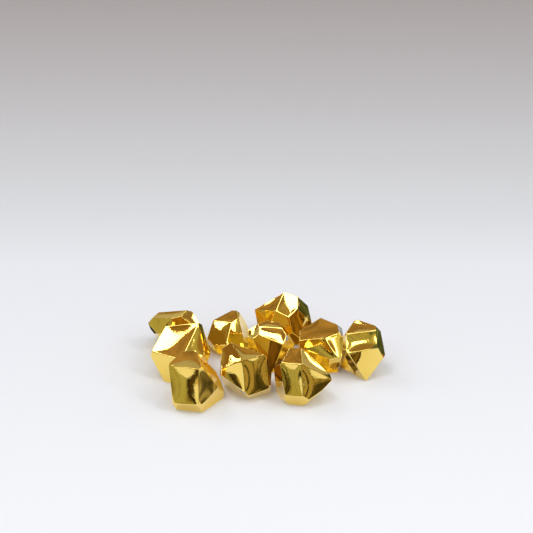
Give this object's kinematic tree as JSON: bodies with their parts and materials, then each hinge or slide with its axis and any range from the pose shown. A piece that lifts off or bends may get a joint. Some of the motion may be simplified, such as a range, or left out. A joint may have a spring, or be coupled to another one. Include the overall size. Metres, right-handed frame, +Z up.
{
  "type": "faceted decorative nuggets",
  "caption": "Loose heap of mirror-bright, gold-plated plastic nuggets with flat facets, used as vase filler or table scatter; each piece lifts off on its own.",
  "frame": {"origin": "on the table top, on the base facet of the centre nugget", "axes": "+Z up from the table, +X to the right and -Y towards the viewer's side of the heap"},
  "size_m": [0.1034, 0.0779, 0.0243],
  "materials": {
    "gold_plating": "clear plastic moulding under a mirror-bright gold-coloured vacuum-metallised coat"
  },
  "bodies": {
    "centre": {"nugget_centre": "gold_plating"},
    "back_left": {"nugget_back_left": "gold_plating"},
    "left": {"nugget_left": "gold_plating"},
    "front_left": {"nugget_front_left": "gold_plating"},
    "back_middle": {"nugget_back_middle": "gold_plating"},
    "front_middle": {"nugget_front_middle": "gold_plating"},
    "back_right": {"nugget_back_right": "gold_plating"},
    "front_right": {"nugget_front_right": "gold_plating"},
    "right": {"nugget_right": "gold_plating"},
    "far_right": {"nugget_far_right": "gold_plating"}
  },
  "joints": [
    {"name": "lift_back_left", "type": "slide", "parent": "centre", "child": "back_left", "axis": [0, 0, 1], "range_m": [0, 0.03]},
    {"name": "lift_left", "type": "slide", "parent": "centre", "child": "left", "axis": [-0.3214, -0.117, 0.9397], "range_m": [0, 0.03]},
    {"name": "lift_front_left", "type": "slide", "parent": "centre", "child": "front_left", "axis": [-0.2988, -0.2988, 0.9063], "range_m": [0, 0.03]},
    {"name": "lift_back_middle", "type": "slide", "parent": "centre", "child": "back_middle", "axis": [0, 0, 1], "range_m": [0, 0.03]},
    {"name": "lift_front_middle", "type": "slide", "parent": "centre", "child": "front_middle", "axis": [0, 0, 1], "range_m": [0, 0.03]},
    {"name": "lift_back_right", "type": "slide", "parent": "centre", "child": "back_right", "axis": [0, 0, 1], "range_m": [0, 0.03]},
    {"name": "lift_front_right", "type": "slide", "parent": "centre", "child": "front_right", "axis": [0, 0, 1], "range_m": [0, 0.03]},
    {"name": "lift_right", "type": "slide", "parent": "centre", "child": "right", "axis": [0, 0, 1], "range_m": [0, 0.03]},
    {"name": "lift_far_right", "type": "slide", "parent": "centre", "child": "far_right", "axis": [0.4226, 0, 0.9063], "range_m": [0, 0.03]}
  ]
}
